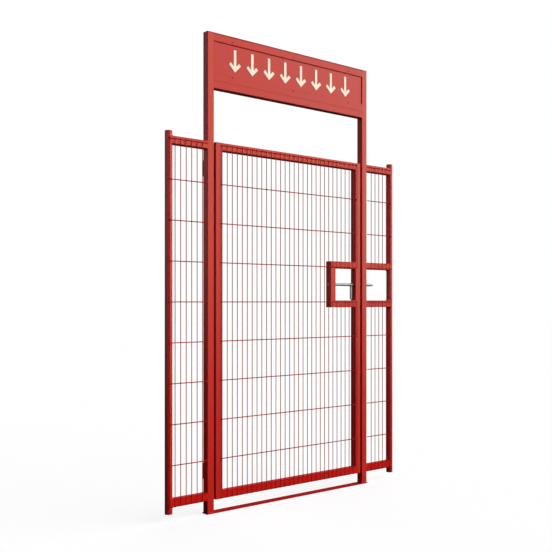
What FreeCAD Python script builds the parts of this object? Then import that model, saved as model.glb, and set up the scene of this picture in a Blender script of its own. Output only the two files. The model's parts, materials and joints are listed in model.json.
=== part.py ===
"""Pedestrian entrance gate: a welded portal with a sign panel, a mesh leaf that swings on two
butt hinges and is held by a slide bolt, and a narrow mesh panel on each side.

Millimetres. +X runs to the right seen from the front, the front faces -Y, +Z is up, and the
origin is the middle of the sill's underside.
"""
import FreeCAD
import Part
import os

Vector = FreeCAD.Vector
X_AXIS = Vector(1, 0, 0)
Y_AXIS = Vector(0, 1, 0)
Z_AXIS = Vector(0, 0, 1)

# Tube stock
TUBE = 40.0                      # outside of the square tube
TUBE_WALL = 2.0
TUBE_BEVEL = 1.5                 # one flat stands for each small round corner of the square tube
TUBE_CAP = 2.0                   # thickness of the end caps let into the square tubes
POST_DIAMETER = 38.0             # round outer posts
POST_WALL = 2.0
POST_TOP = 4.0                   # thickness of the closed top of an outer post
POST_TOP_BEVEL = 2.5
WELD_GAP = 0.2                   # root gap where a tube end is shaped to a round bar

# Portal
PORTAL_WIDTH = 1140.0            # over the two posts
PORTAL_HEIGHT = 2444.0           # ground to the top of the cover bar
COVER_THICKNESS = 4.0            # flat bar that closes the posts and lies along the top rail
SIGN_HEIGHT = 200.0              # sign plate between its two rails
SIGN_THICKNESS = 2.0
SIGN_RECESS = 8.0                # front of the tubes to the front of the sign plate
SIGN_BAR_HEIGHT = 40.0           # flat bar on the lower rail, in front of the sign plate's foot
SILL_THICKNESS = 5.0
SILL_OVERHANG = 3.0              # how far the flat sill bar shows round the posts

# Leaf
HINGE_GAP = 10.0
LATCH_GAP = 13.0
FRAME_BOTTOM = 68.0              # ground to the bottom rails of leaf and side panels
FRAME_HEIGHT = 1820.0            # bottom rail's underside to top rail's top

# Lock box and slide bolt
LOCK_HEIGHT = 1175.0             # ground to the axis of the bolt
LOCK_WINDOW_WIDTH = 158.5
LOCK_WINDOW_HEIGHT = 184.0
BOLT_DIAMETER = 16.0
BOLT_PLAY = 0.5                  # radial room of the bolt in its holes
BOLT_TAIL = 1.5                  # bolt's back end beyond the lock box
BOLT_REACH = 72.0                # bolt's tip beyond the portal post
BOLT_TAPER = 16.0
BOLT_TIP_DIAMETER = 9.0
HANDLE_DIAMETER = 14.0
HANDLE_TO_STILE = 18.3           # handle's axis to the lock stile's inner face
HANDLE_DROP = 86.5               # bolt's axis to the handle's lower end
HANDLE_BEVEL = 4.0

# Side panels
PANEL_REACH = 217.0              # portal post's outer face to the outer post's axis
POST_BELOW = 33.0                # outer post below the bottom rail
POST_ABOVE = 26.0                # outer post above the top rail
RAIL_SHORT = 6.0                 # rail's front wall stops this far before the outer post's axis

# Welded mesh on the front of the frames
LINE_WIRE = 5.0                  # horizontal wires, against the tubes
CROSS_WIRE = 4.0                 # vertical wires, in front of them
LINE_PITCH = 200.0
CROSS_PITCH = 32.25
BOTTOM_WIRE_INSET = 6.0          # bottom rail's underside to the lowest horizontal wire
WIRE_TRIM = 4.0                  # vertical wires run this far past the last horizontal one
LEAF_WIRE_LAP = 12.0             # horizontal wires lap this far onto the leaf's stiles
PANEL_WIRE_GAP = 2.0             # portal post's side to the ends of the panel's wires
LEAF_FIRST_WIRE = 4.5            # leaf's first vertical wire lies this far onto the hinge stile
LEFT_FIRST_WIRE = 34.8           # portal post's side to the left panel's first vertical wire
RIGHT_FIRST_WIRE = 31.65
LEFT_WIRE_END = 15.6             # left wires run this far past the outer post's axis
RIGHT_WIRE_SHORT = 7.0           # right wires stop this far before the outer post's axis

# Butt hinges on the back of the hinge-side tubes
UPPER_HINGE_HEIGHT = 1754.0      # ground to the middle of the hinge
LOWER_HINGE_HEIGHT = 215.0
HINGE_LENGTH = 80.0
KNUCKLE_COUNT = 3
FLAP_THICKNESS = 8.0
KNUCKLE_DIAMETER = 22.0
KNUCKLE_PLAY = 0.5               # end play between the knuckles
FLAP_RELIEF = 1.0                # flap's edge to the other flap's knuckle
PIN_DIAMETER = 12.0
PIN_PLAY = 0.1                   # radial room of the pin in the knuckles
PIN_PROUD = 2.0                  # pin shows this far past the knuckles at each end

# Places that follow from the sizes above
half_tube = TUBE / 2
portal_side = PORTAL_WIDTH / 2                       # outer face of a portal post
portal_inside = portal_side - TUBE
post_top = PORTAL_HEIGHT - COVER_THICKNESS
top_rail_bottom = post_top - TUBE
headroom = top_rail_bottom - SIGN_HEIGHT - TUBE      # ground to the underside of the sign
leaf_left = -portal_inside + HINGE_GAP
leaf_right = portal_inside - LATCH_GAP
hinge_stile_inside = leaf_left + TUBE
lock_stile_inside = leaf_right - TUBE
frame_top = FRAME_BOTTOM + FRAME_HEIGHT
window_bottom = LOCK_HEIGHT - LOCK_WINDOW_HEIGHT / 2
window_top = LOCK_HEIGHT + LOCK_WINDOW_HEIGHT / 2
lock_box_right = lock_stile_inside - LOCK_WINDOW_WIDTH
lock_box_left = lock_box_right - TUBE
outer_post_axis = portal_side + PANEL_REACH
outer_post_bottom = FRAME_BOTTOM - POST_BELOW
outer_post_top = frame_top + POST_ABOVE
hinge_x = -portal_inside + HINGE_GAP / 2
hinge_y = half_tube + KNUCKLE_DIAMETER / 2

nodes = {}


def box(x_from, x_to, y_from, y_to, z_from, z_to):
    corner = Vector(x_from, y_from, z_from)
    return Part.makeBox(x_to - x_from, y_to - y_from, z_to - z_from, corner)


def bevelled_square():
    """Outline of the square tube about the origin."""
    straight = half_tube - TUBE_BEVEL
    corners = []
    for quarter_turn in (0, 90, 180, 270):
        for point in (Vector(half_tube, -straight, 0), Vector(half_tube, straight, 0)):
            corners.append(FreeCAD.Rotation(Z_AXIS, quarter_turn).multVec(point))
    return Part.makePolygon(corners + corners[:1])


def tube_core(length):
    """Square bar that stands on the origin and fills the inside of the square tube."""
    inside = half_tube - TUBE_WALL
    return box(-inside, inside, -inside, inside, 0, length)


def square_tube(length):
    """Hollow square tube that stands on the origin."""
    outside = Part.Face(bevelled_square()).extrude(Z_AXIS * length)
    return outside.cut(tube_core(length))


def upright(x_left, z_from, z_to):
    """Square tube standing with its left face at x_left."""
    tube = square_tube(z_to - z_from)
    tube.translate(Vector(x_left + half_tube, 0, z_from))
    return tube


def rail(x_from, x_to, z_bottom):
    """Square tube lying along X with its underside at z_bottom."""
    tube = square_tube(x_to - x_from)
    tube.rotate(Vector(), Y_AXIS, 90)
    tube.translate(Vector(x_from, 0, z_bottom + half_tube))
    return tube


def tube_cap(x_left, z_bottom):
    """Flat plate let into the end of an upright tube."""
    plate = tube_core(TUBE_CAP)
    plate.translate(Vector(x_left + half_tube, 0, z_bottom))
    return plate


def capped_upright(name, x_left, z_from, z_to):
    """Upright tube whose two end caps, in a node of their own, are flush with its ends."""
    nodes[name] = upright(x_left, z_from, z_to)
    nodes[name + "_caps"] = Part.makeCompound([
        tube_cap(x_left, z_from),
        tube_cap(x_left, z_to - TUBE_CAP)])


def bolt_hole(x_from, x_to):
    """Round bar of the bolt hole's size, along the bolt's axis."""
    return Part.makeCylinder(BOLT_DIAMETER / 2 + BOLT_PLAY, x_to - x_from,
                             Vector(x_from, 0, LOCK_HEIGHT), X_AXIS)


def turned(profile):
    """Solid of revolution about Z from a closed outline of (radius, height) points."""
    points = [Vector(radius, 0, height) for radius, height in profile]
    outline = Part.makePolygon(points + points[:1])
    return Part.Face(outline).revolve(Vector(), Z_AXIS, 360)


def steps(first, last, pitch):
    """Places from first to last, one pitch apart."""
    count = int((last - first) / pitch) + 1
    return [first + pitch * index for index in range(count)]


def wire_mesh(line_heights, cross_places, x_from, x_to, z_from, z_to):
    """Horizontal wires against the tubes, fused to the vertical wires welded in front."""
    line_front = -half_tube - LINE_WIRE
    bars = []
    for height in line_heights:
        bars.append(box(x_from, x_to, line_front, -half_tube,
                        height - LINE_WIRE / 2, height + LINE_WIRE / 2))
    for place in cross_places:
        bars.append(box(place - CROSS_WIRE / 2, place + CROSS_WIRE / 2,
                        line_front - CROSS_WIRE, line_front, z_from, z_to))
    return bars[0].multiFuse(bars[1:])


def build_portal():
    nodes["sill_plate"] = box(-portal_side - SILL_OVERHANG, portal_side + SILL_OVERHANG,
                              -half_tube - SILL_OVERHANG, half_tube + SILL_OVERHANG,
                              0, SILL_THICKNESS)
    for side, x_left in (("left", -portal_side), ("right", portal_inside)):
        nodes[side + "_portal_post"] = upright(x_left, SILL_THICKNESS, post_top)
    keep_hole = bolt_hole(portal_inside - TUBE, portal_side + TUBE)
    nodes["right_portal_post"] = nodes["right_portal_post"].cut(keep_hole)

    nodes["portal_top_rail"] = rail(-portal_inside, portal_inside, top_rail_bottom)
    nodes["portal_cover"] = box(-portal_side, portal_side, -half_tube, half_tube,
                                post_top, PORTAL_HEIGHT)
    nodes["sign_lower_rail"] = rail(-portal_inside, portal_inside, headroom)
    sign_front = -half_tube + SIGN_RECESS
    sign_foot = headroom + TUBE
    nodes["sign_foot_bar"] = box(-portal_inside, portal_inside, -half_tube, sign_front,
                                 sign_foot, sign_foot + SIGN_BAR_HEIGHT)
    nodes["sign_plate"] = box(-portal_inside, portal_inside,
                              sign_front, sign_front + SIGN_THICKNESS,
                              sign_foot, top_rail_bottom)


def build_side_panel(side, rail_bottoms):
    """Round outer post with a closed top, and the square rails shaped to it."""
    outward = -1 if side == "left" else 1
    axis_point = Vector(outward * outer_post_axis, 0, 0)
    outside = POST_DIAMETER / 2
    inside = outside - POST_WALL
    inner_top = outer_post_top - POST_TOP
    post = turned([(inside, outer_post_bottom), (outside, outer_post_bottom),
                   (outside, outer_post_top - POST_TOP_BEVEL),
                   (outside - POST_TOP_BEVEL, outer_post_top),
                   (0, outer_post_top), (0, inner_top), (inside, inner_top)])
    post.translate(axis_point)
    nodes[side + "_outer_post"] = post

    saddle = Part.makeCylinder(outside + WELD_GAP, outer_post_top, axis_point)
    rail_end = outer_post_axis - RAIL_SHORT
    x_from, x_to = sorted((outward * portal_side, outward * rail_end))
    for name, z_bottom in rail_bottoms.items():
        nodes[side + "_panel_" + name] = rail(x_from, x_to, z_bottom).cut(saddle)


def build_leaf_frame():
    capped_upright("leaf_hinge_stile", leaf_left, FRAME_BOTTOM, frame_top)
    capped_upright("leaf_lock_stile", lock_stile_inside, FRAME_BOTTOM, frame_top)
    nodes["leaf_top_rail"] = rail(hinge_stile_inside, lock_stile_inside, frame_top - TUBE)
    nodes["leaf_bottom_rail"] = rail(hinge_stile_inside, lock_stile_inside, FRAME_BOTTOM)

    capped_upright("lock_box_stile", lock_box_left, window_bottom - TUBE, window_top + TUBE)
    nodes["lock_box_upper_rail"] = rail(lock_box_right, lock_stile_inside, window_top)
    nodes["lock_box_lower_rail"] = rail(lock_box_right, lock_stile_inside, window_bottom - TUBE)

    guide_hole = bolt_hole(lock_box_left - TUBE, leaf_right + TUBE)
    for name in ("leaf_lock_stile", "lock_box_stile"):
        nodes[name] = nodes[name].cut(guide_hole)


def build_bolt():
    radius = BOLT_DIAMETER / 2
    tail = lock_box_left - BOLT_TAIL
    tip = portal_side + BOLT_REACH
    bar = turned([(0, tail), (radius, tail), (radius, tip - BOLT_TAPER),
                  (BOLT_TIP_DIAMETER / 2, tip), (0, tip)])
    bar.rotate(Vector(), Y_AXIS, 90)
    bar.translate(Vector(0, 0, LOCK_HEIGHT))
    nodes["slide_bolt"] = bar

    handle_x = lock_stile_inside - HANDLE_TO_STILE
    foot = Vector(handle_x, 0, LOCK_HEIGHT - HANDLE_DROP)
    handle = Part.makeCylinder(HANDLE_DIAMETER / 2, HANDLE_DROP, foot)
    lower_rim = [edge for edge in handle.Edges if edge.BoundBox.ZMax < foot.z + HANDLE_DROP / 2]
    handle = handle.makeChamfer(HANDLE_BEVEL, lower_rim)
    seat = Part.makeCylinder(radius + WELD_GAP, 2 * BOLT_DIAMETER,
                             Vector(handle_x - BOLT_DIAMETER, 0, LOCK_HEIGHT), X_AXIS)
    nodes["bolt_handle"] = handle.cut(seat)


def knuckle(z_from, z_to):
    """Round barrel about the hinge's axis."""
    return Part.makeCylinder(KNUCKLE_DIAMETER / 2, z_to - z_from, Vector(hinge_x, hinge_y, z_from))


def build_hinge(name, height):
    """Three-knuckle butt hinge: outer knuckles on the post's flap, middle one on the leaf's."""
    bottom = height - HINGE_LENGTH / 2
    top = height + HINGE_LENGTH / 2
    lower_joint = bottom + HINGE_LENGTH / KNUCKLE_COUNT
    upper_joint = top - HINGE_LENGTH / KNUCKLE_COUNT
    flap_back = half_tube + FLAP_THICKNESS
    clear = KNUCKLE_DIAMETER / 2 + FLAP_RELIEF
    pin_bore = Part.makeCylinder(PIN_DIAMETER / 2 + PIN_PLAY, HINGE_LENGTH,
                                 Vector(hinge_x, hinge_y, bottom))

    fixed = [box(-portal_side, hinge_x - clear, half_tube, flap_back, bottom, top)]
    for z_from, z_to in ((bottom, lower_joint), (upper_joint, top)):
        fixed.append(box(hinge_x - clear, hinge_x, half_tube, flap_back, z_from, z_to))
        fixed.append(knuckle(z_from, z_to))
    nodes[name + "_fixed_flap"] = fixed[0].multiFuse(fixed[1:]).cut(pin_bore).removeSplitter()

    z_from = lower_joint + KNUCKLE_PLAY
    z_to = upper_joint - KNUCKLE_PLAY
    moving = [box(hinge_x + clear, hinge_stile_inside, half_tube, flap_back, bottom, top),
              box(hinge_x, hinge_x + clear, half_tube, flap_back, z_from, z_to),
              knuckle(z_from, z_to)]
    nodes[name + "_moving_flap"] = moving[0].multiFuse(moving[1:]).cut(pin_bore).removeSplitter()

    nodes[name + "_pin"] = Part.makeCylinder(PIN_DIAMETER / 2, HINGE_LENGTH + 2 * PIN_PROUD,
                                             Vector(hinge_x, hinge_y, bottom - PIN_PROUD))


def build_meshes():
    lowest = FRAME_BOTTOM + BOTTOM_WIRE_INSET
    lines = steps(lowest, frame_top - WIRE_TRIM - LINE_WIRE, LINE_PITCH)
    above = [height for height in lines if height > window_top]
    below = [height for height in lines if height < window_bottom]
    mesh_bottom = lines[0] - WIRE_TRIM
    mesh_top = lines[-1] + WIRE_TRIM
    upper_edge = above[0] - WIRE_TRIM
    lower_edge = below[-1] + WIRE_TRIM

    leaf_from = hinge_stile_inside - LEAF_WIRE_LAP
    leaf_to = lock_stile_inside + LEAF_WIRE_LAP
    crosses = steps(hinge_stile_inside - LEAF_FIRST_WIRE, leaf_to - CROSS_WIRE, CROSS_PITCH)
    beside = [place for place in crosses if place < lock_box_left - CROSS_WIRE]
    over = [place for place in crosses if place > lock_box_left + CROSS_WIRE]
    nodes["leaf_main_mesh"] = wire_mesh(lines, beside, leaf_from, lock_box_left,
                                        mesh_bottom, mesh_top)
    nodes["leaf_upper_mesh"] = wire_mesh(above, over, lock_box_left, leaf_to,
                                         upper_edge, mesh_top)
    nodes["leaf_lower_mesh"] = wire_mesh(below, over, lock_box_left, leaf_to,
                                         mesh_bottom, lower_edge)

    near = portal_side + PANEL_WIRE_GAP
    left_end = outer_post_axis + LEFT_WIRE_END
    left_crosses = steps(portal_side + LEFT_FIRST_WIRE, left_end - CROSS_WIRE, CROSS_PITCH)
    nodes["left_panel_mesh"] = wire_mesh(lines, [-place for place in left_crosses],
                                         -left_end, -near, mesh_bottom, mesh_top)

    right_end = outer_post_axis - RIGHT_WIRE_SHORT
    right_crosses = steps(portal_side + RIGHT_FIRST_WIRE, right_end - CROSS_WIRE, CROSS_PITCH)
    nodes["right_panel_upper_mesh"] = wire_mesh(above, right_crosses, near, right_end,
                                                upper_edge, mesh_top)
    nodes["right_panel_lower_mesh"] = wire_mesh(below, right_crosses, near, right_end,
                                                mesh_bottom, lower_edge)


build_portal()
panel_rails = {"top_rail": frame_top - TUBE, "bottom_rail": FRAME_BOTTOM}
build_side_panel("left", panel_rails)
lock_rails = {"upper_lock_rail": window_top, "lower_lock_rail": window_bottom - TUBE}
build_side_panel("right", {**panel_rails, **lock_rails})
build_leaf_frame()
build_bolt()
build_hinge("upper_hinge", UPPER_HINGE_HEIGHT)
build_hinge("lower_hinge", LOWER_HINGE_HEIGHT)
build_meshes()

os.makedirs("parts", exist_ok=True)
for node_name, shape in nodes.items():
    if not shape.isValid():
        raise ValueError(node_name + " is not a valid shape")
    shape.exportStep("parts/" + node_name + ".step")
    print(node_name, len(shape.Solids), round(shape.Volume))
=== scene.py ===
# %% [markdown]
# # A red entrance gate, dressed piece by piece
# The gate is welded from steel tube: a portal with a sign board, a leaf of welded wire mesh that
# swings on two hinges, a sliding bolt, and a narrow mesh panel on each side. Its solids arrive as
# a fixed frame with the right sizes and places. Every step below asks that frame where a piece is
# and adds what the solid leaves plain: round tube corners, round wires, weld beads, rivets, marks
# on the sign, paint, bare metal and light.

# %% Load the frame
import json
import math

import bpy
import numpy as np
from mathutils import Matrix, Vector

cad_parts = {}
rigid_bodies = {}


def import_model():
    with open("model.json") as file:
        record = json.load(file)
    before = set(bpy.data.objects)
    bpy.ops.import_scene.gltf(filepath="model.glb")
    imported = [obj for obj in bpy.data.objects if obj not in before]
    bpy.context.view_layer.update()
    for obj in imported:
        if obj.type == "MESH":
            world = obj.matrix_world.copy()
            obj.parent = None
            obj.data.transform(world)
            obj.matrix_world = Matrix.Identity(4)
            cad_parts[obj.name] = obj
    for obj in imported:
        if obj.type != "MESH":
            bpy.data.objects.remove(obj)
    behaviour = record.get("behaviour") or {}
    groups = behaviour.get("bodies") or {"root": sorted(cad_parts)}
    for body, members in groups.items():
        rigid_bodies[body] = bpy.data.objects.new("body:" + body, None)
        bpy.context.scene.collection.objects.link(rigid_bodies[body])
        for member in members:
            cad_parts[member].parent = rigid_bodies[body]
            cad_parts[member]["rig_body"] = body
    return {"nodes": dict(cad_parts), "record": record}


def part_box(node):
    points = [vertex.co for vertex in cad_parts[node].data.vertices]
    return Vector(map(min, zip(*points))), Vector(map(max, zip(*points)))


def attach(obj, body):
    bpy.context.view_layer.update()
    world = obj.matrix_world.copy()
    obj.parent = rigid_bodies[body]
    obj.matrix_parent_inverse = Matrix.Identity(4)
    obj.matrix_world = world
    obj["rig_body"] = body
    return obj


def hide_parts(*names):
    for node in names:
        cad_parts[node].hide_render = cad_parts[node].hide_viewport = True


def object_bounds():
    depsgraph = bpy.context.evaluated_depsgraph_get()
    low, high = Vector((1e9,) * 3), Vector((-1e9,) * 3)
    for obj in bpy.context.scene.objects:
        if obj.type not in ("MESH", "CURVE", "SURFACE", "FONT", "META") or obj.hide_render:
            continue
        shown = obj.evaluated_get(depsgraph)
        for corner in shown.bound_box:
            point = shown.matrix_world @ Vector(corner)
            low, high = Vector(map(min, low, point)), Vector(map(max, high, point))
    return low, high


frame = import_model()
cad_low, cad_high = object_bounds()
scene = bpy.context.scene
scene.view_settings.view_transform = "Standard"

# %% [markdown]
# ## The eye
# The gate is seen from its left at chest height. A level camera keeps all uprights upright in the
# picture, so the lens is not tilted: it is shifted upwards instead, as on a view camera.

# %% Camera
EYE_PLACE = (-2.902, -3.426, 1.074)
EYE_TURN = math.radians(-39.2)
EYE_LENS = 53.15
EYE_SENSOR = 36.0
EYE_RISE = 0.047

camera_data = bpy.data.cameras.new("eye")
camera_data.lens = EYE_LENS
camera_data.sensor_width = EYE_SENSOR
camera_data.shift_y = EYE_RISE
eye = bpy.data.objects.new("eye", camera_data)
eye.location = EYE_PLACE
eye.rotation_euler = (math.pi / 2, 0, EYE_TURN)
scene.collection.objects.link(eye)
scene.camera = eye
print("eye: %.2f m from the middle of the sill" % Vector(EYE_PLACE).length)

# %% [markdown]
# ## White room
# The gate stands on a plain floor in an empty white room. Painting floor and walls white would
# flood the undersides of the rails with bounced light, so only the rays that the eye, glass and
# mirrors send out see white. All other rays meet a dim room and a dark floor. To the eye the floor
# is the sum of a grey surface, which takes the shadow, and a glow that lifts the rest to white.
# Room and floor are built from shader nodes, so a few short helpers for nodes come first.

# %% Nodes in one line each
def feed(tree, socket, source):
    """Links a socket to another node's socket, or sets it to a constant."""
    if isinstance(source, bpy.types.NodeSocket):
        tree.links.new(source, socket)
    else:
        socket.default_value = source


def add_node(tree, kind, inputs=None, **settings):
    """New node: settings are its own properties, inputs are what its sockets are fed."""
    made = tree.nodes.new(kind)
    for key, value in settings.items():
        setattr(made, key, value)
    for key, source in (inputs or {}).items():
        feed(tree, made.inputs[key], source)
    return made


def math_node(tree, operation, *terms):
    """Socket with the result of a sum, product and so on of sockets and plain numbers."""
    return add_node(tree, "ShaderNodeMath", dict(enumerate(terms)), operation=operation).outputs[0]


def seen_white(tree, mirror_share):
    """Two sockets: how white a ray should find the room, and 1 for the eye's own rays alone.

    White is 1 for rays of the eye and through glass, and mirror_share for rays off a glossy skin.
    """
    path = add_node(tree, "ShaderNodeLightPath").outputs
    mirrored = math_node(tree, "MULTIPLY", path["Is Glossy Ray"], mirror_share)
    direct = math_node(tree, "MAXIMUM", path["Is Camera Ray"], path["Is Transmission Ray"])
    return math_node(tree, "MAXIMUM", direct, mirrored), path["Is Camera Ray"]


print("helpers for nodes: feed, add_node, math_node, seen_white")

# %% Room
ROOM_LEVEL = 0.13                # light of the room on the gate

room = bpy.data.worlds.new("white_room")
room.use_nodes = True
scene.world = room
tree = room.node_tree
backdrop = tree.nodes["Background"].inputs
room_seen, _ = seen_white(tree, 1.0)
room_level = math_node(tree, "MULTIPLY_ADD", room_seen, 1 - ROOM_LEVEL, ROOM_LEVEL)
feed(tree, backdrop["Color"], (1, 1, 1, 1))
feed(tree, backdrop["Strength"], room_level)
print("room: level %.2f for light, 1 for the eye" % ROOM_LEVEL)

# %% Finish of the floor
FLOOR_GREY = 0.25                # the floor's own grey to the eye
FLOOR_DARK = 0.01                # and to all other rays
FLOOR_GLOW = 0.808
FLOOR_GLOW_TINT = (0.979, 0.984, 1.0, 1)      # makes up for the warm key light
FLOOR_MIRROR = 0.03              # share of the glow that glossy skins see

floor_coat = bpy.data.materials.new("pale_floor")
floor_coat.use_nodes = True
tree = floor_coat.node_tree
tree.nodes.clear()
floor_seen, floor_eyed = seen_white(tree, FLOOR_MIRROR)
grey_level = math_node(tree, "MULTIPLY_ADD", floor_eyed, FLOOR_GREY - FLOOR_DARK, FLOOR_DARK)
grey = add_node(tree, "ShaderNodeBsdfDiffuse", {"Color": grey_level})
glow_level = math_node(tree, "MULTIPLY", floor_seen, FLOOR_GLOW)
glow = add_node(tree, "ShaderNodeEmission", {"Color": FLOOR_GLOW_TINT, "Strength": glow_level})
both = add_node(tree, "ShaderNodeAddShader", {0: grey.outputs[0], 1: glow.outputs[0]})
add_node(tree, "ShaderNodeOutputMaterial", {"Surface": both.outputs[0]})
print("floor finish:", len(tree.nodes), "nodes")

# %% Floor
FLOOR_REACH = 40.0
FLOOR_DROP = 0.0003              # keeps the sill's underside clear of the floor

floor_mesh = bpy.data.meshes.new("floor")
floor_corners = FLOOR_REACH * np.array([(-1, -1, 0), (1, -1, 0), (1, 1, 0), (-1, 1, 0)], float)
floor_corners[:, 2] = cad_low.z - FLOOR_DROP
floor_mesh.from_pydata(floor_corners.tolist(), [], [(0, 1, 2, 3)])
floor_mesh.materials.append(floor_coat)
floor = bpy.data.objects.new("floor", floor_mesh)
scene.collection.objects.link(floor)
print("floor: %.0f m wide" % (2 * FLOOR_REACH))

# %% [markdown]
# ## Light
# The key light is a broad bright wall far to the right of the gate and a little in front of it. It
# lights the fronts at a slant, leaves the left sides and the left halves of the round posts in the
# dim light of the room, and the upper half of the gate mirrors some of it to the eye: that washes
# the red with a little white there, and the foot stays deep red. A second, weaker light stands
# behind the gate on the same side and shows the back. A third, cool one at the left front is seen
# only by glossy skins, and lays a grey sheen on the dark halves of the round posts. Being far away,
# all three light top and foot alike, so sun lamps with wide angles do the job.

# %% Key light and back light
def hang_sun(name, level, turn, rise, spread):
    """Sun lamp in the direction (cos rise cos turn, cos rise sin turn, sin rise)."""
    flat = math.cos(rise)
    toward = Vector((flat * math.cos(turn), flat * math.sin(turn), math.sin(rise)))
    data = bpy.data.lights.new(name, "SUN")
    data.energy = level
    data.angle = spread
    lamp = bpy.data.objects.new(name, data)
    lamp.location = toward
    lamp.rotation_euler = toward.to_track_quat("Z", "Y").to_euler()
    scene.collection.objects.link(lamp)
    print(name, "level %.1f, %.0f degrees wide" % (level, math.degrees(spread)))
    return lamp


KEY_LEVEL = 6.3
KEY_TURN = math.radians(-42)     # compass angle from the right-hand side, front is -90
KEY_RISE = math.radians(10)
KEY_SPREAD = math.radians(80)
KEY_TINT = (1.0, 0.95, 0.87)
BACK_LEVEL = 2.4
BACK_TURN = math.radians(45)
BACK_RISE = math.radians(12)
BACK_SPREAD = math.radians(60)

key_light = hang_sun("key_light", KEY_LEVEL, KEY_TURN, KEY_RISE, KEY_SPREAD)
key_light.data.color = KEY_TINT
back_light = hang_sun("back_light", BACK_LEVEL, BACK_TURN, BACK_RISE, BACK_SPREAD)
back_light.visible_glossy = False

# %% Strip light for the sheen
STRIP_LEVEL = 3.3
STRIP_TURN = math.radians(-155)
STRIP_RISE = math.radians(35)
STRIP_SPREAD = math.radians(90)
STRIP_TINT = (0.50, 0.66, 1.0)

strip_light = hang_sun("strip_light", STRIP_LEVEL, STRIP_TURN, STRIP_RISE, STRIP_SPREAD)
strip_light.data.color = STRIP_TINT
strip_light.visible_diffuse = False

# %% [markdown]
# ## Powder coat
# The gate is sprayed with a semi-gloss red powder and baked. Close up such a coat has orange peel,
# a fine ripple of a few millimetres, and clouds of slightly different depth. The tubes' corners are
# coloured darker and made duller. All red finishes share these effects, so they live in one node
# group, and each finish gives it its own values. The wires, the sign and the sill get a darker red
# as painted shade, and the lowest rails a lighter one as painted light.

# %% Groups and materials
def new_group(name, inputs, outputs):
    """Empty node group with named sockets, and its input and output nodes."""
    group = bpy.data.node_groups.new(name, "ShaderNodeTree")
    for direction, sockets in (("INPUT", inputs), ("OUTPUT", outputs)):
        for socket, kind in sockets.items():
            group.interface.new_socket(name=socket, in_out=direction,
                                       socket_type="NodeSocket" + kind)
    entry = add_node(group, "NodeGroupInput").outputs
    leave = add_node(group, "NodeGroupOutput").inputs
    return group, entry, leave


def new_material(name):
    """Fresh material, its node tree, a socket with the place on it, and its shader's sockets."""
    material = bpy.data.materials.new(name)
    material.use_nodes = True
    tree = material.node_tree
    place = add_node(tree, "ShaderNodeTexCoord").outputs["Object"]
    return material, tree, place, tree.nodes["Principled BSDF"].inputs


print("helpers for finishes: new_group, new_material")

# %% Node group of the powder coat
CLOUD_SCALE = 3.0                # clouds per metre
CLOUD_RANGE = (0.95, 1.05)       # brightness of the darkest and the lightest cloud
NOISE_SPAN = (0.30, 0.70)        # nearly all values of a noise texture lie between these
ROUGH_CLOUD = 0.10               # how much the clouds change the roughness
DARK_CORNER_SHARE = 0.45                # how far a corner's colour goes towards the dark corner red
WORN_ROUGH = 0.25
MIX_SHARE, MIX_FROM, MIX_TO, MIX_RESULT = 0, 6, 7, 2      # sockets of a Mix node for colours

powder_skin, entry, leave = new_group(
    "powder_skin",
    {"Place": "Vector", "Colour": "Color", "Dark corner colour": "Color", "Corner": "Float",
     "Peel": "Float", "Rough": "Float"},
    {"Colour": "Color", "Roughness": "Float", "Height": "Float"})
peel = add_node(powder_skin, "ShaderNodeTexNoise",
                {"Vector": entry["Place"], "Scale": entry["Peel"], "Detail": 1.5})
feed(powder_skin, leave["Height"], peel.outputs["Fac"])
cloud = add_node(powder_skin, "ShaderNodeTexNoise",
                 {"Vector": entry["Place"], "Scale": CLOUD_SCALE, "Detail": 3.0}).outputs["Fac"]
depth = add_node(powder_skin, "ShaderNodeMapRange",
                 {"Value": cloud, "From Min": NOISE_SPAN[0], "From Max": NOISE_SPAN[1],
                  "To Min": CLOUD_RANGE[0], "To Max": CLOUD_RANGE[1]})
clouded = add_node(powder_skin, "ShaderNodeHueSaturation",
                   {"Color": entry["Colour"], "Value": depth.outputs["Result"]})
dark_corner_mix = math_node(powder_skin, "MULTIPLY", entry["Corner"], DARK_CORNER_SHARE)
darkened_corners = add_node(powder_skin, "ShaderNodeMix",
                {MIX_SHARE: dark_corner_mix, MIX_FROM: clouded.outputs["Color"],
                 MIX_TO: entry["Dark corner colour"]}, data_type="RGBA")
feed(powder_skin, leave["Colour"], darkened_corners.outputs[MIX_RESULT])
rough_cloud = math_node(powder_skin, "MULTIPLY_ADD", cloud, ROUGH_CLOUD, entry["Rough"])
rough_corner = math_node(powder_skin, "MULTIPLY_ADD", entry["Corner"], WORN_ROUGH, rough_cloud)
feed(powder_skin, leave["Roughness"], rough_corner)
print("powder_skin:", len(powder_skin.nodes), "nodes")

# %% Red finish
PEEL_DEPTH = 0.00006             # metres
PEEL_STRENGTH = 0.25
# red that the tube corners are darkened towards
DARK_CORNER_RED = (0.20, 0.0040, 0.0030)
GLOSS_TINT = (1.0, 0.88, 0.67, 1)


def red_finish(name, colour, peels, rough, gloss, gloss_tint=GLOSS_TINT):
    """Powder coat with so many peels per metre; the corner attribute says where it is darker and
    duller.
    """
    material, tree, place, surface = new_material(name)
    corner = add_node(tree, "ShaderNodeAttribute", attribute_name="corner").outputs["Fac"]
    skin = add_node(tree, "ShaderNodeGroup",
                    {"Place": place, "Colour": (*colour, 1), "Dark corner colour": (*DARK_CORNER_RED, 1),
                     "Corner": corner, "Peel": peels, "Rough": rough},
                    node_tree=powder_skin).outputs
    bump = add_node(tree, "ShaderNodeBump", {"Height": skin["Height"], "Strength": PEEL_STRENGTH,
                                             "Distance": PEEL_DEPTH})
    feed(tree, surface["Base Color"], skin["Colour"])
    feed(tree, surface["Roughness"], skin["Roughness"])
    feed(tree, surface["Normal"], bump.outputs["Normal"])
    feed(tree, surface["Specular IOR Level"], gloss)
    feed(tree, surface["Specular Tint"], gloss_tint)
    return material


print("orange peel: %.2f mm deep" % (1000 * PEEL_DEPTH))

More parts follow.
